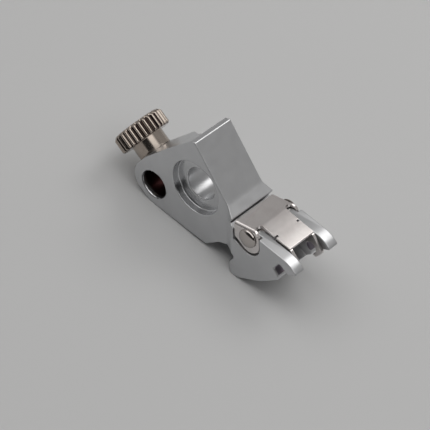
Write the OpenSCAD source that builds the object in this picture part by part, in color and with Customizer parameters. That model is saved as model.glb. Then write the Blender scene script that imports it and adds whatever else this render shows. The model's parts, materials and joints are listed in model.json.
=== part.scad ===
// Presser foot holder for a sewing machine, millimetres.
// A cast shank ends in a clevis with a sprung sheet-metal latch, and a thumb screw clamps a guide bar.
//
// The side view is drawn as the holder hangs on the machine. Its origin is the guide bar hole.
// "out" is measured from there towards the front panel, and "down" towards the foot.
// The last step lays the holder on its rear corners, as it comes to rest on a table.

/* [Shank] */
// Width of the shank and its front panel
shank_w = 8; // [7.4:0.1:8.6]
// Thickness of the plate that the presser bar lies against
plate_t = 5.4; // [5:0.1:5.8]
// Guide bar hole to the ridge at the top of the front panel
ridge_out = 15.5; // [15.2:0.1:16]
// How far the ridge lies above the guide bar hole
ridge_up = 1.1; // [0.6:0.1:1.6]
// Lean of the front panel from upright, degrees
panel_lean = 14.6; // [13.6:0.1:15.6]
// Wall left behind the front panel beside the presser bar
panel_t = 1.2; // [0.9:0.1:1.6]
// Depth of the presser bar's channel below the guide bar hole
channel_down = 9.8; // [8.6:0.1:10.4]
// Radius of the round lug that the thumb screw goes into
lug_r = 3.3; // [3:0.1:3.6]
// Lean of the flat rear face from upright, degrees
rear_lean = 27.9; // [26.5:0.1:29]
// Guide bar hole to the flat rear face
rear_gap = 3.9; // [3.7:0.1:4.1]
// Radius of the round rear corners
rear_r = 3.1; // [2.8:0.1:3.3]
// Guide bar hole down to the rear bottom corner
rear_drop = 12.1; // [11.8:0.1:12.4]

/* [Holes] */
// Guide bar hole
guide_d = 5; // [3:0.1:5.2]
// Presser bar screw hole, measured out from the guide bar hole
bar_hole_out = 8.6; // [8.3:0.1:8.9]
// Presser bar screw hole, measured down from the guide bar hole
bar_hole_down = 4.3; // [4:0.1:4.6]
// Presser bar screw hole
bar_hole_d = 5.5; // [4:0.1:6]
// Counterbore for the presser bar screw's head
bar_head_d = 9.4; // [8:0.1:9.6]
// Depth of that counterbore
bar_head_depth = 1.3; // [0.8:0.1:2]

/* [Thumb screw] */
// Height of the screw's seat above the guide bar hole
seat_up = 4.2; // [4.1:0.1:4.6]
// Diameter of the screw's stem
stem_d = 3; // [2.4:0.1:3.4]
// Diameter of the round shoulder
shoulder_d = 5.5; // [5:0.1:5.7]
// Height of the shoulder
shoulder_h = 2.4; // [1.8:0.1:3.4]
// Diameter of the knurled head over its teeth
head_d = 8.8; // [8:0.1:10]
// Height of the knurled head
head_h = 2.9; // [2.2:0.1:4]
// Number of teeth in the knurl
teeth = 30; // [24:1:36]
// Depth of the grooves between the teeth
tooth_depth = 0.38; // [0.2:0.02:0.5]
// Chamfer round the top of the head
head_chamfer = 0.5; // [0.3:0.05:0.8]

/* [Clevis] */
// Width over the two ears
clevis_w = 9.8; // [9.5:0.1:10.4]
// Gap between the ears
ear_gap = 5.7; // [5.6:0.05:6]
// Pivot, measured out from the guide bar hole
pivot_out = 13.15; // [13.05:0.05:13.25]
// Pivot, measured down from the guide bar hole
pivot_down = 15.05; // [14.95:0.05:15.15]
// Diameter of the pivot pin
pin_d = 2; // [1.6:0.1:2.2]
// Diameter of the pin's domed ends
dome_d = 3.2; // [2.8:0.1:3.6]
// Height of the domed ends
dome_h = 0.75; // [0.5:0.05:1]
// Diameter of the foot's cross pin that the clevis takes
foot_pin_d = 1.9; // [1.7:0.05:1.95]
// Front of the slot for that pin, measured out from the guide bar hole
slot_out = 16.15; // [16.05:0.05:16.25]
// Top of that slot, measured down from the guide bar hole
slot_top = 20.8; // [20.7:0.05:20.9]

/* [Latch] */
// Thickness of the latch's sheet
sheet_t = 0.55; // [0.45:0.05:0.6]
// Width of the latch over its side cheeks
latch_w = 9.3; // [9:0.1:9.4]
// Width of the tongue between the ears
tongue_w = 5.5; // [5.2:0.05:5.55]
// Length of the wide plate above the fold
plate_len = 3.96; // [3.8:0.02:4.1]
// Length of the tongue below the fold
tongue_len = 5.78; // [5.6:0.02:6]
// Lean of the wide plate from upright, degrees
plate_lean = 43; // [42:0.5:44]
// Lean of the tongue from upright, degrees
tongue_lean = 23.5; // [23:0.1:24]
// How far the latch swings open, degrees
swing = 12; // [8:0.5:12.5]

/* [Spring] */
// Diameter of the spring's wire
wire_d = 0.3; // [0.2:0.02:0.34]
// Diameter over the spring's coils
coil_d = 1.7; // [1.4:0.05:1.8]
// Depth of the spring's blind hole, measured behind the pivot
coil_depth = 2.5; // [2:0.1:3]
// Turns of the spring between its closed ends
turns = 5; // [3:1:6]

/* [Fits] */
// Clearance all round a pin that turns in its hole
running_gap = 0.05; // [0.02:0.01:0.08]
// Clearance beside a sliding face
side_gap = 0.05; // [0.03:0.01:0.08]
// Clearance round the latch where it swings
swing_gap = 0.12; // [0.1:0.01:0.18]
// Clearance across the slot for the foot's cross pin
slot_gap = 0.05; // [0.03:0.01:0.1]

/* [Hidden] */

arc_step = 7.5;
fine = 64;
far = 40;

// A point of the side view from its distances out and down.
function side(out, down) = [-out, -down];
// The same with the radius of a rounded corner.
function bend(out, down, r = 0) = [-out, -down, r];
function with_r(p, r) = [p[0], p[1], r];
function xy(p) = [p[0], p[1]];
function unit(v) = v / norm(v);
function turned(p, a) = [p[0] * cos(a) - p[1] * sin(a), p[0] * sin(a) + p[1] * cos(a)];
function about(c, p, a) = c + turned(p - c, a);

// Centre of the arc that rounds corner p between its neighbours a and b.
function corner_centre(a, p, b, r) =
    let (u = unit(a - p), v = unit(b - p), half = acos(u * v) / 2)
    p + unit(u + v) * r / sin(half);

// The points of one rounded corner.
function corner(a, p, b, r) =
    let (
        u = unit(a - p),
        v = unit(b - p),
        half = acos(u * v) / 2,
        c = corner_centre(a, p, b, r),
        start = p + u * r / tan(half) - c,
        way = cross(start, p - c) > 0 ? 1 : -1,
        sweep = 180 - 2 * half,
        n = ceil(sweep / arc_step)
    )
    [for (i = [0:n]) c + turned(start, way * sweep * i / n)];

// An outline whose corners are rounded by the radius given with each point.
function rounded(list) =
    let (n = len(list))
    [for (i = [0:n - 1])
        let (a = xy(list[(i + n - 1) % n]), p = xy(list[i]), b = xy(list[(i + 1) % n]), r = list[i][2])
        each (r > 0 ? corner(a, p, b, r) : [p])];

// Side view of the shank
slope = tan(panel_lean);
panel_drop = 9.2;
panel_foot_out = ridge_out - (panel_drop + ridge_up) * slope;
seat_front = 2.6;
crest = bend(9.5, -2.9, 3);
ledge_down = 11.5;
ledge_out = panel_foot_out - 0.2;
rear_flat = rear_r + 0.5;
rear_turn = (rear_gap - rear_flat * cos(rear_lean)) / sin(rear_lean);
rear_foot = (rear_drop * sin(rear_lean) - rear_gap) / cos(rear_lean);

// Side view of the latch
pivot = side(pivot_out, pivot_down);
plate_dir = side(sin(plate_lean), cos(plate_lean));
plate_in = side(-cos(plate_lean), sin(plate_lean));
tongue_dir = side(sin(tongue_lean), cos(tongue_lean));
tongue_in = side(-cos(tongue_lean), sin(tongue_lean));
fold = pivot + side(2.15, -0.35);
inner_fold = fold + unit(plate_in + tongue_in) * sheet_t / cos((plate_lean - tongue_lean) / 2);
fold_r = 1.2;
plate_end = fold - plate_dir * plate_len;
tongue_end = fold + tongue_dir * tongue_len;
swung_end = about(pivot, plate_end + plate_in * sheet_t, -swing);

// Side view of the clevis
pocket = swung_end - side(2 * swing_gap, -swing_gap);
brow = fold + plate_dir * 0.4 + plate_in * (sheet_t + swing_gap);
knuckle = side(18.17, 21.85);
toe = side(17.82, 23.95);
toe_r = 0.25;
slot_w = foot_pin_d + slot_gap;
slot_back = slot_out - slot_w;
foot_pin = side(slot_out - slot_w / 2, slot_top + foot_pin_d / 2);
mouth_down = 22.95;
leg_foot = side(slot_out + 0.85, mouth_down + 0.3);
sole = side(9.3, 21.5);
heel_out = 4.45;
heel_down = 18.76;
heel_top = 16.25;
heel_r = 1.6;
notch_out = 7.5;
notch_roof = 13.05;

body_side = [
    bend(-rear_flat, -seat_up, rear_r),
    bend(seat_front, -seat_up),
    crest,
    bend(ridge_out - 0.7, -ridge_up - 0.55, 0.8),
    bend(ridge_out, -ridge_up, 0.35),
    bend(panel_foot_out, panel_drop, 5),
    bend(ledge_out, ledge_down),
    bend(-pocket[0], ledge_down, 0.2),
    with_r(pocket, 0.2),
    with_r(brow, 0.3),
    with_r(knuckle, 5),
    with_r(toe, toe_r),
    with_r(leg_foot, 0.5),
    bend(slot_out, mouth_down, 0.25),
    bend(slot_out, slot_top, 0.45),
    bend(slot_back, slot_top, 0.25),
    bend(slot_back - 0.45, mouth_down - 0.1, 0.6),
    with_r(sole, 12),
    bend(heel_out, heel_down, heel_r),
    bend(heel_out, heel_top, 1.2),
    bend(notch_out, heel_top, 0.5),
    bend(notch_out, heel_top - 1.5, 1.2),
    bend(notch_out - 2.3, notch_roof, 0.8),
    bend(rear_foot, rear_drop, 0.9),
    bend(-rear_flat, rear_turn, rear_r)
];

// The clevis widens past a line that falls from the foot of the panel towards the notch.
flare_from = side(panel_foot_out, panel_drop + 0.2);
flare_fall = 37;
flare_len = 1.7;

// The holder rests on its rear round corner and on its heel.
rear_corner = corner_centre(
    side(rear_foot, rear_drop), side(-rear_flat, rear_turn), side(-rear_flat, -seat_up), rear_r);
heel_corner = corner_centre(
    sole, side(heel_out, heel_down), side(heel_out, heel_top), heel_r);
rest_span = rear_corner - heel_corner;
lay_angle = asin((rear_r - heel_r) / norm(rest_span)) - atan2(rest_span[1], rest_span[0]);
lift = rear_r - turned(rear_corner, lay_angle)[1];
front_end = turned(corner_centre(knuckle, toe, leg_foot, toe_r), lay_angle)[0] - toe_r;
head_top = seat_up + shoulder_h + head_h;
rear_end = turned([head_d / 2 - head_chamfer, head_top], lay_angle)[0];
shift = -(front_end + rear_end) / 2;

// Turns a side view drawing into a solid that runs from x0 to x1.
module across(x0, x1) {
    translate([x0, 0, 0])
        rotate([90, 0, 90])
            linear_extrude(x1 - x0) children();
}

// A round bar or hole that runs across the holder from x0 to x1.
module round_across(at, d, x0, x1) {
    translate([x0, at[0], at[1]])
        rotate([0, 90, 0])
            cylinder(d = d, h = x1 - x0, $fn = fine);
}

// Lays what is drawn as hanging down on the table.
module lay_down() {
    translate([0, shift, lift])
        rotate([lay_angle, 0, 0]) children();
}

// Holder body

module wide_blank() {
    across(-clevis_w / 2, clevis_w / 2)
        polygon(rounded(body_side));
}

// Everything within the width of the shank above the flare and of the clevis below it.
module flare() {
    half = [[-far, shank_w / 2], [0, shank_w / 2], [flare_len, clevis_w / 2], [far, clevis_w / 2]];
    translate([0, flare_from[0], flare_from[1]])
        rotate([-flare_fall, 0, 0])
            rotate([0, 90, -90])
                translate([0, 0, -far])
                    linear_extrude(2 * far)
                        polygon(concat(half, [for (i = [3:-1:0]) [half[i][0], -half[i][1]]]));
}

// Plan of the metal cut away for the presser bar, with the lug left standing.
module channel_plan() {
    edge = plate_t - shank_w / 2;
    lug_back = rear_flat - lug_r + 0.1;
    difference() {
        polygon([
            [0, far],
            [0, lug_back],
            [edge, lug_back],
            [edge, -9.6],
            [edge - 2, -12.9],
            [edge - 2.5, -14.2],
            [edge - 2.5, -far],
            [far, -far],
            [far, far]
        ]);
        translate([0, lug_back])
            circle(r = lug_r, $fn = fine);
    }
}

// The presser bar's channel stops at the wall behind the front panel.
module bar_channel() {
    wall = side(ridge_out - panel_t / cos(panel_lean), -ridge_up);
    lean = side(-slope, 1) * far;
    difference() {
        translate([0, 0, -channel_down])
            linear_extrude(far) channel_plan();
        across(-far, far)
            polygon([wall - lean, wall + lean, wall + lean - [far, 0], wall - lean - [far, 0]]);
    }
}

module guide_hole() {
    chamfer = 0.25;
    round_across([0, 0], guide_d, -far, far);
    translate([-shank_w / 2, 0, 0])
        rotate([0, 90, 0])
            cylinder(r1 = guide_d / 2 + chamfer, r2 = guide_d / 2, h = chamfer, $fn = fine);
}

module bar_screw_hole() {
    at = side(bar_hole_out, bar_hole_down);
    round_across(at, bar_hole_d, -far, far);
    round_across(at, bar_head_d, -far, bar_head_depth - shank_w / 2);
}

// The gap between the ears, down to the web that joins them.
module clevis_gap() {
    web_turn = 17;
    web_slope = 0.2;
    foot = far - web_turn;
    across(-ear_gap / 2, ear_gap / 2)
        polygon([
            pocket,
            [pocket[0], -web_turn],
            [pocket[0] - web_slope * foot, -far],
            [-far, -far],
            [-far, pocket[1]]
        ]);
}

// Outline of the cheek that is folded down on each side of the wide plate.
// Its points are measured from the pivot, along the plate and behind it.
plate_u = (plate_end - pivot) * plate_dir;
plate_v = (plate_end - pivot) * plate_in;
lobe_u = 2.15;
lobe_v = 2.65;
cheek_v = 0.7;
function cheek_at(u, v, r) = with_r(pivot + plate_dir * u + plate_in * v, r);
cheek_side = rounded([
    cheek_at(plate_u, plate_v, 0),
    cheek_at(lobe_u, plate_v, 1.5),
    cheek_at(lobe_u, lobe_v, 1.95),
    cheek_at(-0.5, lobe_v, 1.5),
    cheek_at(plate_u, cheek_v, 0.5)
]);

// The recess is larger by a gap all round, and by the travel of the cheek's free corner.
lobe_gap = swing_gap + 0.1;
cheek_travel = swing_gap - plate_u * sin(swing);
recess_side = rounded([
    cheek_at(plate_u - swing_gap, plate_v - 3, 0),
    cheek_at(lobe_u + lobe_gap, plate_v - 3, 0),
    cheek_at(lobe_u + lobe_gap, lobe_v + lobe_gap, 2.1),
    cheek_at(-0.3, lobe_v + lobe_gap, 1.5),
    cheek_at(plate_u - swing_gap, cheek_v + cheek_travel, 0.5)
]);

// Shallow recess in the outside of each ear, for the latch's cheeks to swing in.
module cheek_recess() {
    floor = latch_w / 2 - sheet_t - side_gap;
    for (x = [-far, floor])
        across(x, x + far - floor)
            polygon(recess_side);
}

// Turns +Z to point in from the plate, on the spring's axis, from a distance behind the pivot.
module along_spring(v) {
    spring_u = plate_u + coil_d / 2 - 0.1;
    foot = pivot + plate_dir * spring_u + plate_in * v;
    translate([0, foot[0], foot[1]])
        rotate([-90 - plate_lean, 0, 0]) children();
}

module holder_body() {
    color([0.62, 0.63, 0.65])
        lay_down()
            difference() {
                intersection() {
                    wide_blank();
                    flare();
                }
                bar_channel();
                guide_hole();
                bar_screw_hole();
                cylinder(d = stem_d + 2 * running_gap, h = far, $fn = fine);
                clevis_gap();
                cheek_recess();
                round_across(pivot, pin_d, -far, far);
                along_spring(0)
                    cylinder(d = coil_d + 0.2, h = coil_depth, $fn = fine);
            }
}

// Thumb screw

module knurl_outline() {
    step = 360 / teeth;
    polygon([
        for (i = [0:teeth - 1], p = [[-0.32, 0], [0.32, 0], [0.5, tooth_depth]])
            let (a = 90 + (i + p[0]) * step, r = head_d / 2 - p[1])
            [r * cos(a), r * sin(a)]
    ]);
}

module thumb_screw() {
    r = head_d / 2;
    foot = seat_up + shoulder_h;
    tip = guide_d / 2 + 0.15;
    color([0.72, 0.68, 0.6])
        lay_down() {
            rotate_extrude($fn = fine)
                polygon([
                    [0, tip],
                    [stem_d / 2 - 0.3, tip],
                    [stem_d / 2, tip + 0.3],
                    [stem_d / 2, seat_up],
                    [shoulder_d / 2, seat_up],
                    [shoulder_d / 2, foot],
                    [0, foot]
                ]);
            intersection() {
                translate([0, 0, foot])
                    linear_extrude(head_h) knurl_outline();
                rotate_extrude($fn = fine)
                    polygon([
                        [0, foot],
                        [r - 0.25, foot],
                        [r, foot + 0.25],
                        [r, head_top - head_chamfer],
                        [r - head_chamfer, head_top],
                        [0, head_top]
                    ]);
            }
        }
}

// Latch

// The folded sheet seen from the side: the wide plate, the fold and the tongue.
module sheet_side() {
    polygon(rounded([
        with_r(plate_end, 0),
        with_r(fold, fold_r),
        with_r(tongue_end, 0.15),
        with_r(tongue_end + tongue_in * sheet_t, 0.15),
        with_r(inner_fold, fold_r - sheet_t),
        with_r(plate_end + plate_in * sheet_t, 0)
    ]));
}

// Section across the wide plate, with a cheek folded down at each side.
module plate_section() {
    half = latch_w / 2;
    inner = half - sheet_t;
    bend_r = 0.75;
    difference() {
        polygon(rounded([
            [-half, plate_v, bend_r], [half, plate_v, bend_r], [half, far, 0], [-half, far, 0]]));
        polygon(rounded([
            [-inner, plate_v + sheet_t, bend_r - sheet_t],
            [inner, plate_v + sheet_t, bend_r - sheet_t],
            [inner, 2 * far, 0],
            [-inner, 2 * far, 0]
        ]));
    }
}

// Lays a drawing of the plate's section so that it runs along the plate.
module along_plate(u0, u1) {
    translate([0, pivot[0], pivot[1]])
        rotate([-plate_lean, 0, 0])
            translate([0, 0, -u1])
                linear_extrude(u1 - u0) children();
}

// The wide plate ends just above the fold on both sides of the tongue, in round corners.
module shoulder_cuts() {
    fold_u = (fold - pivot) * plate_dir;
    half = latch_w / 2 - sheet_t;
    inner = tongue_w / 2;
    turn = 0.6;
    for (s = [-1, 1])
        translate([0, pivot[0], pivot[1]])
            rotate([-plate_lean - 90, 0, 0])
                translate([0, 0, plate_v - 1])
                    linear_extrude(sheet_t + 1.1)
                        polygon(rounded([
                            [s * inner, fold_u - 0.35, turn],
                            [s * half, fold_u - 0.35, turn],
                            [s * half, 4, 0],
                            [s * inner, 4, 0]
                        ]));
}

// Hook at each side of the tongue that holds the foot's cross pin up in its slot.
module hook_side() {
    root = fold + tongue_dir * hook_from;
    difference() {
        polygon(rounded([
            with_r(root, 0),
            with_r(foot_pin + side(2.3, -1.45), 0.5),
            with_r(foot_pin + side(1.6, 1.7), 0.4),
            with_r(foot_pin + side(-0.4, 1.6), 0.3),
            with_r(foot_pin + side(-0.5, 0.6), 0.1),
            with_r(foot_pin + side(0, -1.4), 0.3),
            with_r(root + tongue_in * 1.0, 0.4)
        ]));
        translate(foot_pin)
            circle(d = foot_pin_d + 0.2, $fn = fine);
    }
}
hook_from = 2.95;

// Small relief cut in each edge of the tongue where the hook's fold starts.
module fold_relief() {
    cut = 0.3;
    root = fold + tongue_dir * (hook_from - cut);
    for (x = [-far, tongue_w / 2 - sheet_t])
        across(x, x + far - tongue_w / 2 + sheet_t)
            polygon([
                root - tongue_in,
                root + tongue_in * 2,
                root + tongue_in * 2 + tongue_dir * cut,
                root - tongue_in + tongue_dir * cut
            ]);
}

module latch() {
    color([0.75, 0.72, 0.68])
        lay_down()
            difference() {
                union() {
                    difference() {
                        intersection() {
                            across(-latch_w / 2, latch_w / 2)
                                polygon(cheek_side);
                            along_plate(-far, far) plate_section();
                        }
                        shoulder_cuts();
                        across(-tongue_w / 2, tongue_w / 2)
                            polygon([
                                fold - plate_in * 2,
                                fold + plate_in * 2,
                                fold + plate_in * 2 + plate_dir * 3,
                                fold - plate_in * 2 + plate_dir * 3
                            ]);
                    }
                    difference() {
                        across(-tongue_w / 2, tongue_w / 2) sheet_side();
                        fold_relief();
                    }
                    for (x = [-tongue_w / 2, tongue_w / 2 - sheet_t])
                        across(x, x + sheet_t) hook_side();
                }
                round_across(pivot, pin_d + 2 * running_gap, -far, far);
            }
}

// Pivot pin

module dome(face) {
    r = (dome_d * dome_d / 4 + dome_h * dome_h) / (2 * dome_h);
    intersection() {
        translate([face + dome_h - r, 0, 0])
            sphere(r = r, $fn = fine);
        translate([face, 0, 0])
            rotate([0, 90, 0])
                cylinder(d = dome_d + 1, h = dome_h + 1, $fn = fine);
    }
}

module pivot_pin() {
    face = latch_w / 2 + side_gap;
    color([0.8, 0.8, 0.82])
        lay_down()
            translate([0, pivot[0], pivot[1]]) {
                rotate([0, 90, 0])
                    cylinder(d = pin_d, h = 2 * face, center = true, $fn = fine);
                dome(face);
                mirror([1, 0, 0]) dome(face);
            }
}

// Latch spring, a small compression spring that pushes the wide plate outwards

// Height along the spring's axis after n turns: close at both ends, even between them.
function spring_rise(n, long) =
    let (close = wire_d * 1.04, open = (long - wire_d - 2 * close) / turns)
    wire_d / 2 + (n < 1 ? n * close : n > turns + 1 ? long - wire_d - (turns + 2 - n) * close :
    close + (n - 1) * open);

module latch_spring() {
    low = plate_v + sheet_t + 0.04;
    long = coil_depth - 0.04 - low;
    per_turn = 16;
    steps = (turns + 2) * per_turn;
    sides = 6;
    mid_r = (coil_d - wire_d) / 2;
    points = [
        for (i = [0:steps], j = [0:sides - 1])
            let (
                a = i * 360 / per_turn,
                b = j * 360 / sides,
                r = mid_r + wire_d / 2 * cos(b),
                z = spring_rise(i / per_turn, long) + wire_d / 2 * sin(b)
            )
            [r * cos(a), r * sin(a), z]
    ];
    walls = [
        for (i = [0:steps - 1], j = [0:sides - 1])
            let (k = (j + 1) % sides)
            [i * sides + j, i * sides + k, (i + 1) * sides + k, (i + 1) * sides + j]
    ];
    first = [for (j = [sides - 1:-1:0]) j];
    last = [for (j = [0:sides - 1]) steps * sides + j];
    color([0.5, 0.5, 0.52])
        lay_down()
            along_spring(low)
                polyhedron(points, concat(walls, [first], [last]));
}

holder_body();
thumb_screw();
latch();
pivot_pin();
latch_spring();
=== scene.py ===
# %% [markdown]
# The holder arrives from its CAD model as five solids: the cast body, the thumb screw, the folded latch,
# the pin that the latch turns on and its little spring. They are already the right size and in the right
# place, so this lesson never moves them. It gives them what a solid from CAD lacks: rounded edges that
# catch the light, and finishes that look like plated castings, turned nickel and rolled sheet steel.

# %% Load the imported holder
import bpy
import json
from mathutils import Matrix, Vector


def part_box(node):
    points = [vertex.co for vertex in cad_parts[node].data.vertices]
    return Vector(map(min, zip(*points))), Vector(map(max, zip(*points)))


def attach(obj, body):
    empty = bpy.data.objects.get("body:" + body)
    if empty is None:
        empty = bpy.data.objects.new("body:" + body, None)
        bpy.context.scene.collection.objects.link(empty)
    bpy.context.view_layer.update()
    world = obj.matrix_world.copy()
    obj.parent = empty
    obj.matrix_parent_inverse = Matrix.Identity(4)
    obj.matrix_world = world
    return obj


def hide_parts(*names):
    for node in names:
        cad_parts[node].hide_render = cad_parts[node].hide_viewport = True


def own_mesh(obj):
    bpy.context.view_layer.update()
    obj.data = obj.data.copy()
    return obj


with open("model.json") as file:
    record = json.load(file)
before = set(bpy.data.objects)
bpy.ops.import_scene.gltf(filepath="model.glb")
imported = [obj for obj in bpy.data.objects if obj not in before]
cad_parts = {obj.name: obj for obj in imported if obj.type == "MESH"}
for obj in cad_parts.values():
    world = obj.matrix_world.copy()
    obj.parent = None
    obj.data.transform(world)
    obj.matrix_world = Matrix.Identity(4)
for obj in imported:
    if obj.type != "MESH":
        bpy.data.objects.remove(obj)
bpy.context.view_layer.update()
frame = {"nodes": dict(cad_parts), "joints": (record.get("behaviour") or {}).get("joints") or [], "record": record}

# %% Tools of this lesson
import json
import math

import bmesh
import bpy
from mathutils import Matrix, Vector

scene = bpy.context.scene
view = scene.view_settings
view.view_transform = "Standard"
mm = 0.001
mounts = {mount["name"]: mount for mount in frame["record"]["mounts"]}
joints = {joint["name"]: joint for joint in frame["joints"]}
guide_hole = Vector(mounts["guide_bar_hole"]["pos_m"])
print("guide bar hole at", [round(v / mm, 2) for v in guide_hole], "mm")

# %% [markdown]
# The camera comes first, because every later choice is judged through it. The photograph was taken from
# high on the front left, with the camera tipped a little to one side. It could be aimed with a Track To
# constraint, but that always keeps the camera level. Building its three directions from azimuth,
# elevation and roll keeps the tip, and the numbers stay easy to read.

# %% Camera
camera_azimuth = -57.6
camera_elevation = 48.0
camera_roll = 13.8
camera_distance = 300 * mm
view_width = 65.55 * mm
aim = guide_hole + Vector((-2.82, -11.46, 2.25)) * mm

turn = math.radians(camera_azimuth)
rise = math.radians(camera_elevation)
toward_camera = Vector((math.sin(turn) * math.cos(rise), -math.cos(turn) * math.cos(rise), math.sin(rise)))
level_right = Vector((math.cos(turn), math.sin(turn), 0))
level_up = toward_camera.cross(level_right)
tip = math.radians(camera_roll)
camera_right = level_right * math.cos(tip) + level_up * math.sin(tip)
camera_up = toward_camera.cross(camera_right)

camera = bpy.data.objects.new("camera", bpy.data.cameras.new("camera"))
scene.collection.objects.link(camera)
camera.data.sensor_width = 36
camera.data.lens = camera.data.sensor_width * camera_distance / view_width
camera.data.clip_start = 10 * mm
facing = Matrix((camera_right, camera_up, toward_camera)).transposed().to_4x4()
camera.matrix_world = Matrix.Translation(aim + toward_camera * camera_distance) @ facing
scene.camera = camera
print("camera lens", round(camera.data.lens, 1), "mm, at", [round(v, 3) for v in camera.location])

# %% [markdown]
# A casting has no knife edges: the mould and the polishing before plating leave every edge round. In the
# photograph each edge of the holder is a thin bright or dark line, and that line is most of what tells
# the eye that it is metal. The CAD solid's edges are sharp, so each one is copied, cleaned and bevelled.
# Cleaning matters more than the bevel itself. The triangles of each flat face are dissolved into one
# face, and edges shorter than the bevel are collapsed, because a bevel folds over itself where it meets
# an edge shorter than its own width. A few edges stay sharp: where the drilled screw hole breaks into the
# guide hole, deep in the pocket where the latch swings close by, and in the small reliefs beside the
# latch's fold. Hardened normals then keep the flat faces flat, so that they reflect the room like a
# polished plane and only the edges bend the light.

# %% Rounded copies of the solids
weld_distance = 0.0005 * mm
flat_angle = math.radians(0.3)
edge_angle = math.radians(28)
drilled_crossing = ((0.0, 10.2, 3.0), (1.7, 12.4, 6.6))
pocket_step = ((0.0, -7.6, 7.2), (5.5, -6.8, 8.8))
fold_relief = ((2.6, -11.9, 10.0), (4.3, -9.9, 11.6))


def stays_sharp(edge, sharp_places):
    """Whether both ends of an edge lie in one of the sharp places, on either side of the middle."""
    ends = [(abs(v.co.x) / mm, v.co.y / mm, v.co.z / mm) for v in edge.verts]
    return any(
        all(low[k] <= end[k] <= high[k] for end in ends for k in range(3)) for low, high in sharp_places
    )


def clean_mesh(node, name, shortest, sharp_places=()):
    """A copy of a CAD solid's mesh with its split corners joined, its flat faces in one piece and its
    edges weighted for a bevel."""
    form = bmesh.new()
    form.from_mesh(frame["nodes"][node].data)
    bmesh.ops.remove_doubles(form, verts=form.verts, dist=weld_distance)
    bmesh.ops.dissolve_limit(form, angle_limit=flat_angle, verts=form.verts, edges=form.edges)
    bmesh.ops.dissolve_degenerate(form, dist=shortest, edges=form.edges)
    weight = form.edges.layers.float.new("bevel_weight_edge")
    for edge in form.edges:
        if edge.calc_face_angle(0) > edge_angle:
            edge.smooth = not stays_sharp(edge, sharp_places)
            edge[weight] = edge.smooth
    mesh = bpy.data.meshes.new(name)
    form.to_mesh(mesh)
    form.free()
    if "custom_normal" in mesh.attributes:
        mesh.attributes.remove(mesh.attributes["custom_normal"])
    mesh.polygons.foreach_set("use_smooth", [True] * len(mesh.polygons))
    return mesh


def round_edges(piece, radius, segments):
    """Bevels every edge of a piece that has a weight."""
    bevel = piece.modifiers.new("rounded edges", "BEVEL")
    bevel.width = radius
    bevel.segments = segments
    bevel.limit_method = "WEIGHT"
    bevel.use_clamp_overlap = False
    bevel.harden_normals = True


def stand_for(piece, node, body):
    """Lets a piece stand for a CAD node, and ride where the node rides."""
    scene.collection.objects.link(piece)
    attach(piece, body)
    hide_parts(node)
    print(piece.name, "has", len(piece.data.polygons), "faces before its modifiers")


def rounded_copy(node, body, name, radius, segments, sharp_places):
    """A bevelled copy of a CAD node, which rides where the node rides."""
    piece = bpy.data.objects.new(name, clean_mesh(node, name, radius / 4, sharp_places))
    round_edges(piece, radius, segments)
    stand_for(piece, node, body)
    return piece


# %% [markdown]
# The body and the latch get different edges. The casting is the softer one, and the latch is punched from
# thin sheet.

# %% The cast body and the latch
casting = rounded_copy("holder_body", "root", "cast_shank", 0.2 * mm, 3, (drilled_crossing, pocket_step))
sheet = rounded_copy("latch", "latch", "folded_latch", 0.07 * mm, 2, (fold_relief,))

# %% [markdown]
# The spring sits in a blind hole behind the latch's wide plate, which presses it shut when the latch
# swings. It can't ride on either body, since one end stays in the hole. A shape key could close its
# coils, and so could a squash that follows the joint, but this cell makes neither. It measures the coil
# along the plate's own normal, which is the spring's axis, and works out how far it would close.

# %% Coil spring
spring = bpy.data.objects.new("coil_spring", clean_mesh("latch_spring", "coil_spring", weld_distance))
stand_for(spring, "latch_spring", "root")
latch_pin = Vector(joints["latch_pivot"]["pos_m"])
behind_pin = [face for face in sheet.data.polygons if face.center.y > latch_pin.y and face.normal.z > 0]
plate_normal = max(behind_pin, key=lambda face: face.area).normal.copy()
spring_heights = [v.co.dot(plate_normal) for v in spring.data.vertices]
closed_share = 0.88
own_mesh(spring)
spring_length = max(spring_heights) - min(spring_heights)
closing = (1 - closed_share) * spring_length
print("spring", round(spring_length / mm, 2), "mm long, closes by", round(closing / mm, 2), "mm")

# %% [markdown]
# The thumb screw and the pin are made anew instead of bevelled, because both are round and their curves
# matter. They are lathe jobs: a profile of heights and radii runs along the axis, and each of its points
# becomes a ring. Where the profile has a corner, three rings go round it instead of one. A Screw
# modifier could spin the profile too, but it can't draw the rings in to the shape of the screw's teeth.


# %% A small lathe
def soft_corners(profile, size):
    """The same profile with each corner turned into three points of a small curve."""
    points = [Vector(point) for point in profile]
    soft = [points[0]]
    for before, corner, after in zip(points, points[1:], points[2:]):
        back = (before - corner).normalized() * min(size, (before - corner).length / 2.1)
        ahead = (after - corner).normalized() * min(size, (after - corner).length / 2.1)
        soft += [corner + back, corner + (back + ahead) / 4, corner + ahead]
    return soft + [points[-1]]


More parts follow.
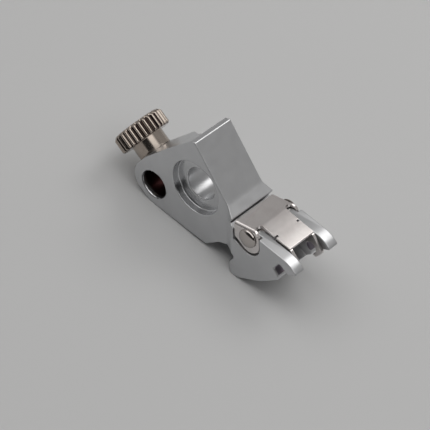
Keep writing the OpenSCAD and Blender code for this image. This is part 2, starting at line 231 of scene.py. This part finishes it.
def turned_piece(name, centre, axis, profile, around, outline=None):
    """A solid of rings round an axis. An outline draws every ring in to its radius at each angle."""
    across = axis.orthogonal().normalized()
    beside = axis.cross(across)
    form = bmesh.new()
    rings = []
    for height, radius in profile:
        ring = []
        for i in range(around):
            angle = 2 * math.pi * i / around
            reach = min(radius, outline(angle)) if outline else radius
            spoke = across * math.cos(angle) + beside * math.sin(angle)
            ring.append(form.verts.new(centre + axis * height + spoke * reach))
        rings.append(ring)
    for low, high in zip(rings, rings[1:]):
        for i in range(around):
            j = (i + 1) % around
            form.faces.new((low[i], low[j], high[j], high[i]))
    form.faces.new(list(reversed(rings[0])))
    form.faces.new(rings[-1])
    bmesh.ops.recalc_face_normals(form, faces=form.faces)
    mesh = bpy.data.meshes.new(name)
    form.to_mesh(mesh)
    form.free()
    mesh.polygons.foreach_set("use_smooth", [True] * len(mesh.polygons))
    mesh.set_sharp_from_angle(angle=math.radians(60))
    piece = bpy.data.objects.new(name, mesh)
    normals = piece.modifiers.new("flat faces stay flat", "WEIGHTED_NORMAL")
    normals.weight = 100
    normals.keep_sharp = True
    return piece


# %% [markdown]
# A knurling wheel presses its teeth into the screw's rim, so their crests are narrow and round and the
# grooves between them are wide. Each ring of the head is drawn in to that outline, which also lets the
# teeth run out through the chamfers as real ones do. The axis, the head and the stem's end are measured
# on the CAD solid, so the new screw can't grow out of it.

# %% Thumb screw
screw_axis = Vector(joints["screw_turn"]["axis"]).normalized()
screw_seat = Vector(joints["screw_turn"]["pos_m"])
screw_points = [v.co - screw_seat for v in frame["nodes"]["thumb_screw"].data.vertices]
heights = [p.dot(screw_axis) for p in screw_points]
head_top = max(heights)
stem_tip = min(heights)
head_r = max((p - screw_axis * p.dot(screw_axis)).length for p in screw_points)
print("head", round(2 * head_r / mm, 2), "mm wide, top", round(head_top / mm, 2), "mm above its seat")

stem_r = 1.5 * mm
stem_chamfer = 0.3 * mm
shoulder_r = 2.75 * mm
shoulder_h = 2.4 * mm
under_chamfer = 0.25 * mm
top_chamfer = 0.5 * mm
tip_r = 0.05 * mm
teeth = 30
tooth_depth = 0.38 * mm
crest_share = 0.1

screw_profile = [
    (stem_tip, tip_r), (stem_tip, stem_r - stem_chamfer), (stem_tip + stem_chamfer, stem_r), (0, stem_r),
    (0, shoulder_r), (shoulder_h, shoulder_r), (shoulder_h, head_r - under_chamfer),
    (shoulder_h + under_chamfer, head_r), (head_top - top_chamfer, head_r),
    (head_top, head_r - top_chamfer), (head_top, tip_r),
]


def tooth_outline(angle):
    """Radius of the knurled rim at an angle."""
    share = (angle / (2 * math.pi) * teeth) % 1
    from_crest = min(share, 1 - share) * 2
    fall = min(max((from_crest - crest_share) / (1 - crest_share), 0), 1)
    return head_r - tooth_depth * fall * fall * (3 - 2 * fall)


screw_rings = soft_corners(screw_profile, 0.09 * mm)
screw = turned_piece("knurled_screw", screw_seat, screw_axis, screw_rings, teeth * 10, tooth_outline)
stand_for(screw, "thumb_screw", "thumb_screw")

# %% [markdown]
# The pin's ends are full domes, formed by a punch, and steep enough at their foot to mirror the lamps.
# A quarter of an ellipse gives that. The domes are as wide and as high as the CAD model's.

# %% Domed pin
pin_low, pin_high = (Vector(corner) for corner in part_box("pivot_pin"))
pin_centre = (pin_low + pin_high) / 2
dome_r = (pin_high.z - pin_low.z) / 2
dome_foot = 4.7 * mm
dome_h = pin_high.x - dome_foot
shaft_r = 1.0 * mm
dome_steps = 12

dome = []
for i in range(1, dome_steps + 1):
    angle = math.pi / 2 * i / dome_steps
    dome.append((dome_foot + dome_h * math.cos(angle), dome_r * math.sin(angle)))
far_half = [(dome_foot, shaft_r)] + dome[::-1]
pin_profile = [(-height, radius) for height, radius in far_half[::-1]] + far_half
rivet = turned_piece("domed_pin", pin_centre, Vector((1, 0, 0)), pin_profile, 72)
stand_for(rivet, "pivot_pin", "root")
print("domes", round(2 * dome_r / mm, 2), "mm wide and", round(dome_h / mm, 2), "mm high")

# %% [markdown]
# All the finishes are bare or plated metal, so each starts as the same Principled shader with Metallic
# at 1. What makes them differ is how rough they are and what marks their surface. A small helper starts
# each one and hands back its node tree, and the next cells add one kind of mark at a time.


# %% A metal to start from
def start_metal(name, colour, roughness):
    """A new metal, its node tree and its shader."""
    material = bpy.data.materials.new(name)
    material.use_nodes = True
    tree = material.node_tree
    shader = tree.nodes["Principled BSDF"]
    shader.inputs["Base Color"].default_value = (*colour, 1)
    shader.inputs["Metallic"].default_value = 1
    shader.inputs["Roughness"].default_value = roughness
    return material, tree, shader


def spots(tree, scale, stretch=(1, 1, 1), detail=3):
    """Noise over the piece, with scale as spots to a metre and stretch for brushed lines."""
    place = tree.nodes.new("ShaderNodeTexCoord")
    mapping = tree.nodes.new("ShaderNodeMapping")
    mapping.inputs["Scale"].default_value = stretch
    noise = tree.nodes.new("ShaderNodeTexNoise")
    noise.inputs["Scale"].default_value = scale
    noise.inputs["Detail"].default_value = detail
    tree.links.new(place.outputs["Object"], mapping.inputs["Vector"])
    tree.links.new(mapping.outputs["Vector"], noise.inputs["Vector"])
    return noise.outputs["Fac"]


def carry(tree, value, low, high, to_low, to_high):
    """A value carried smoothly from one range to another."""
    node = tree.nodes.new("ShaderNodeMapRange")
    node.interpolation_type = "SMOOTHSTEP"
    node.inputs["From Min"].default_value = low
    node.inputs["From Max"].default_value = high
    node.inputs["To Min"].default_value = to_low
    node.inputs["To Max"].default_value = to_high
    tree.links.new(value, node.inputs["Value"])
    return node.outputs["Result"]


def join(tree, first, second, operation="MULTIPLY"):
    """One product or sum of two values."""
    node = tree.nodes.new("ShaderNodeMath")
    node.operation = operation
    tree.links.new(first, node.inputs[0])
    tree.links.new(second, node.inputs[1])
    return node.outputs["Value"]


def two_tones(tree, noise, dark, light):
    """A colour that wanders between two tones."""
    ramp = tree.nodes.new("ShaderNodeValToRGB")
    ramp.color_ramp.elements[0].position = 0.3
    ramp.color_ramp.elements[0].color = (*dark, 1)
    ramp.color_ramp.elements[1].position = 0.7
    ramp.color_ramp.elements[1].color = (*light, 1)
    tree.links.new(noise, ramp.inputs["Fac"])
    return ramp.outputs["Color"]


def add_bump(tree, shader, noise, height, strength, below=None):
    """Bumps of a real height, on top of the bumps of another node if one is given."""
    bump = tree.nodes.new("ShaderNodeBump")
    bump.inputs["Distance"].default_value = height
    bump.inputs["Strength"].default_value = strength
    tree.links.new(noise, bump.inputs["Height"])
    if below:
        tree.links.new(below, bump.inputs["Normal"])
    tree.links.new(bump.outputs["Normal"], shader.inputs["Normal"])
    return bump.outputs["Normal"]


def dress(piece, material):
    """Puts one material over a whole piece."""
    piece.data.materials.clear()
    piece.data.materials.append(material)
    print(piece.name, "is dressed in", material.name)


# %% [markdown]
# Some marks belong to one spot. The guide bar hole is painted dark brown a little way in, as painted
# shade inside the hole, while its mouth keeps the plating. The slots for the foot's pin get painted
# shade too. The wide counterbore was cut by a tool, which left it glossier than the cast skin, and the
# grooves of the knurl are painted dark, partly for grime and partly as painted shade. Each could be a
# separate piece of mesh. A mask in the shader is simpler, and it needs only two values at every point:
# how far the point is from an axis, and how far along it.


# %% Where a point lies round an axis
def from_axis(tree, centre, axis):
    """Distance from an axis, and height along it from a centre."""
    place = tree.nodes.new("ShaderNodeTexCoord")
    off = tree.nodes.new("ShaderNodeVectorMath")
    off.operation = "SUBTRACT"
    off.inputs[1].default_value = centre
    tree.links.new(place.outputs["Object"], off.inputs[0])
    across = tree.nodes.new("ShaderNodeVectorMath")
    across.operation = "CROSS_PRODUCT"
    across.inputs[1].default_value = axis
    reach = tree.nodes.new("ShaderNodeVectorMath")
    reach.operation = "LENGTH"
    along = tree.nodes.new("ShaderNodeVectorMath")
    along.operation = "DOT_PRODUCT"
    along.inputs[1].default_value = axis
    tree.links.new(off.outputs["Vector"], across.inputs[0])
    tree.links.new(across.outputs["Vector"], reach.inputs[0])
    tree.links.new(off.outputs["Vector"], along.inputs[0])
    return reach.outputs["Value"], along.outputs["Value"]


def inside_bore(tree, centre, wall, start, full):
    """1 within a bore that runs along X, from the height where it starts to where it is full."""
    reach, depth = from_axis(tree, (0, centre[1], centre[2]), (1, 0, 0))
    near = carry(tree, reach, wall + 0.02 * mm, wall + 0.06 * mm, 1, 0)
    return join(tree, near, carry(tree, depth, start, full, 0, 1))


def paint_over(tree, under, mask, colour):
    """One colour laid over another where the mask is 1."""
    mix = tree.nodes.new("ShaderNodeMix")
    mix.data_type = "RGBA"
    mix.inputs["B"].default_value = (*colour, 1)
    tree.links.new(mask, mix.inputs["Factor"])
    tree.links.new(under, mix.inputs["A"])
    return mix.outputs["Result"]


# %% [markdown]
# The body is a casting that was tumbled and then plated. It isn't a mirror: its flat sides show a soft
# grey blur of the table, with the faintest cloudiness. Broad spots change its roughness and tint a
# little, and shallow bumps stand for the skin of the casting under the plating.

# %% Satin chrome
near_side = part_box("holder_body")[0][0]
counterbore_r = 4.7 * mm
slot_reach = 1.3 * mm
pin_slot = mounts["foot_pin_slot"]["pos_m"]
screw_hole = mounts["bar_screw_hole"]["pos_m"]
screw_hole_r = mounts["bar_screw_hole"]["dims"]["r_mm"] * mm
guide_r = mounts["guide_bar_hole"]["dims"]["r_mm"] * mm

satin, tree, shader = start_metal("satin_chrome", (0.56, 0.565, 0.575), 0.3)
plating = two_tones(tree, spots(tree, 260), (0.545, 0.55, 0.56), (0.58, 0.585, 0.595))
# Painted shade: the guide bar hole's wall is painted near-black brown from a little way in, standing in for the
# shade inside the hole.
bore_painted_shade = inside_bore(tree, guide_hole, guide_r, near_side + 1.2 * mm, near_side + 2.0 * mm)
plating = paint_over(tree, plating, bore_painted_shade, (0.022, 0.008, 0.008))
# Painted shade: the inside of the foot pin's slots is painted a dark grey, standing in for the shade in them.
slot_painted_shade = inside_bore(tree, pin_slot, slot_reach, near_side + 0.15 * mm, near_side + 0.5 * mm)
plating = paint_over(tree, plating, slot_painted_shade, (0.20, 0.18, 0.21))
tree.links.new(plating, shader.inputs["Base Color"])

skin_roughness = carry(tree, spots(tree, 700), 0.3, 0.7, 0.29, 0.35)
cut_bore = inside_bore(tree, screw_hole, counterbore_r, near_side + 0.1 * mm, near_side + 0.2 * mm)
screw_reach, _ = from_axis(tree, screw_hole, (1, 0, 0))
cut_bore = join(tree, cut_bore, carry(tree, screw_reach, screw_hole_r, screw_hole_r + 0.1 * mm, 0, 1))
gloss = tree.nodes.new("ShaderNodeMix")
gloss.inputs["B"].default_value = 0.22
tree.links.new(cut_bore, gloss.inputs["Factor"])
tree.links.new(skin_roughness, gloss.inputs["A"])
tree.links.new(gloss.outputs["Result"], shader.inputs["Roughness"])
skin = add_bump(tree, shader, spots(tree, 900, detail=1), 0.006 * mm, 0.1)
add_bump(tree, shader, spots(tree, 5000, detail=2), 0.001 * mm, 0.15, below=skin)
dress(casting, satin)

# %% [markdown]
# The latch was punched from rolled strip and folded. The rolls leave fine straight lines across it, so
# its noise is squeezed along the strip and drawn out across it. The same lines feed the roughness and
# the bumps, which is why they catch the light together.

# %% Brushed sheet
brushed, tree, shader = start_metal("latch_steel", (0.72, 0.68, 0.665), 0.28)
lines = spots(tree, 1400, stretch=(0.12, 7, 7), detail=4)
tint = two_tones(tree, spots(tree, 350), (0.69, 0.65, 0.635), (0.75, 0.715, 0.70))
tree.links.new(tint, shader.inputs["Base Color"])
tree.links.new(carry(tree, lines, 0.3, 0.7, 0.22, 0.27), shader.inputs["Roughness"])
add_bump(tree, shader, lines, 0.0004 * mm, 0.2)
dress(sheet, brushed)

# %% [markdown]
# The thumb screw was turned on a lathe, knurled and nickel plated. It is much glossier than the body, so
# its shoulder and teeth flash from cream to nearly black. Its faint lines run round its axis. They come
# from noise that follows only the distance from the axis plus the height along it, which draws rings on
# the flat top as well as on the shoulder.


# %% Turned nickel
def turning_marks(tree, reach, along, scale):
    """Rings round an axis, on flat ends and round walls alike."""
    noise = tree.nodes.new("ShaderNodeTexNoise")
    noise.noise_dimensions = "1D"
    noise.inputs["Scale"].default_value = scale
    tree.links.new(join(tree, reach, along, "ADD"), noise.inputs["W"])
    return noise.outputs["Fac"]


nickel, tree, shader = start_metal("turned_nickel", (0.43, 0.375, 0.33), 0.15)
reach, along = from_axis(tree, screw_seat, screw_axis)
# Grime and painted shade: the bottoms of the knurl's grooves are painted dark brown, partly for grime and partly
# standing in for the shade deep in them.
in_groove = carry(tree, reach, head_r - 0.8 * tooth_depth, head_r - 0.3 * tooth_depth, 1, 0)
on_head = carry(tree, reach, head_r - 1.2 * tooth_depth, head_r - 1.1 * tooth_depth, 0, 1)
groove_grime_and_painted_shade = join(tree, in_groove, on_head)
groove_grime_and_painted_shade = join(tree, groove_grime_and_painted_shade, carry(tree, along, head_top - 0.4 * mm, head_top - 0.2 * mm, 1, 0))
tone = two_tones(tree, spots(tree, 500), (0.39, 0.335, 0.29), (0.46, 0.405, 0.355))
tree.links.new(paint_over(tree, tone, groove_grime_and_painted_shade, (0.06, 0.045, 0.04)), shader.inputs["Base Color"])
tree.links.new(carry(tree, spots(tree, 900), 0.3, 0.7, 0.12, 0.19), shader.inputs["Roughness"])
add_bump(tree, shader, turning_marks(tree, reach, along, 5000), 0.002 * mm, 0.4)
dress(screw, nickel)

# %% [markdown]
# The pin's domed end is the one true mirror on the holder, and the spring is plain drawn wire that hardly
# shows. Both still get a little wandering roughness, because nothing real is evenly polished.

# %% Polished pin and drawn wire
polished, tree, shader = start_metal("polished_steel", (0.50, 0.465, 0.44), 0.1)
tree.links.new(carry(tree, spots(tree, 1500), 0.3, 0.7, 0.07, 0.14), shader.inputs["Roughness"])
dress(rivet, polished)

wire, tree, shader = start_metal("spring_steel", (0.5, 0.5, 0.52), 0.3)
tree.links.new(carry(tree, spots(tree, 3000), 0.3, 0.7, 0.22, 0.4), shader.inputs["Roughness"])
dress(spring, wire)

# %% [markdown]
# Metal is only as good as what it reflects. The photograph was taken on a pale table under a soft light
# from above, with a bright room on the right and a dark one on the left: that dark side is what draws
# the black bands on the screw. The table could have been white, but then the metal would lose its edges,
# so it keeps the photograph's light grey. It is stage and not part of the holder.

# %% Table
table_reach = 3.0
table = bpy.data.objects.new("table", bpy.data.meshes.new("table"))
corners = [(x * table_reach, y * table_reach, 0) for x, y in ((-1, -1), (1, -1), (1, 1), (-1, 1))]
table.data.from_pydata(corners, [], [(0, 1, 2, 3)])
scene.collection.objects.link(table)

paper = bpy.data.materials.new("table_paper")
paper.use_nodes = True
paper_shader = paper.node_tree.nodes["Principled BSDF"]
paper_shader.inputs["Base Color"].default_value = (0.545, 0.548, 0.55, 1)
paper_shader.inputs["Roughness"].default_value = 0.8
dress(table, paper)

# %% [markdown]
# The room is the world's shader, and it is the same for every ray. Its walls are dim, and behind the
# photographer they are nearly black. A bright strip of ceiling starts just right of the camera and
# ends a little past the top. The holder's flat faces all mirror places further right
# than that, so they stay calm, while every round part shows the strip's edge as a crisp line. Just over
# the horizon lies a pale band, the background of the low views, which matches the table.

# %% Room
room = bpy.data.worlds.new("room")
scene.world = room
room.use_nodes = True
tree = room.node_tree
tree.nodes.clear()

dark_wall = 0.03
light_wall = 0.37
ceiling = 1.4
far_wall = 0.44
photographer = (-0.85, -0.53, 0)

direction = tree.nodes.new("ShaderNodeTexCoord")
split = tree.nodes.new("ShaderNodeSeparateXYZ")
tree.links.new(direction.outputs["Generated"], split.inputs["Vector"])
side, height = split.outputs["X"], split.outputs["Z"]
toward = tree.nodes.new("ShaderNodeVectorMath")
toward.operation = "DOT_PRODUCT"
toward.inputs[1].default_value = photographer
tree.links.new(direction.outputs["Generated"], toward.inputs[0])
walls = carry(tree, toward.outputs["Value"], -0.1, 0.5, light_wall, dark_wall)

strip = join(tree, carry(tree, side, -0.54, -0.42, 0, 1), carry(tree, side, 0.0, 0.3, ceiling, 0))
strip = join(tree, strip, carry(tree, height, 0.50, 0.72, 0, 1))
band = carry(tree, height, 0.07, 0.10, far_wall, 0)
above_band = carry(tree, height, 0.07, 0.10, 0, 1)
light = join(tree, join(tree, join(tree, walls, strip, "ADD"), above_band), band, "ADD")

inside = tree.nodes.new("ShaderNodeBackground")
inside.inputs["Color"].default_value = (1.0, 0.99, 0.98, 1)
output = tree.nodes.new("ShaderNodeOutputWorld")
tree.links.new(light, inside.inputs["Strength"])
tree.links.new(inside.outputs["Background"], output.inputs["Surface"])

# %% [markdown]
# One soft box hangs on the right, high up. It gives the shadow that lies left of the body and under the
# screw's head, and its size against its distance sets how soft that is. It hangs between the places
# that the ledge and the tongue mirror, so both glow without burning out. Its power is worked out from
# the brightness that its face should have, which is what the metal shows.

# %% Soft box
box_side = 175 * mm
box_distance = 350 * mm
box_brightness = 2.15
box_from = Vector((0.565, -0.09, 0.82)).normalized()
soft_box = bpy.data.objects.new("soft_box", bpy.data.lights.new("soft_box", "AREA"))
soft_box.data.size = box_side
soft_box.data.energy = box_brightness * math.pi * box_side ** 2
soft_box.data.color = (1.0, 0.99, 0.975)
soft_box.location = box_from * box_distance
soft_box.rotation_euler = box_from.to_track_quat("Z", "Y").to_euler()
scene.collection.objects.link(soft_box)
print("soft box of", round(soft_box.data.energy, 2), "W at", [round(v, 3) for v in soft_box.location])
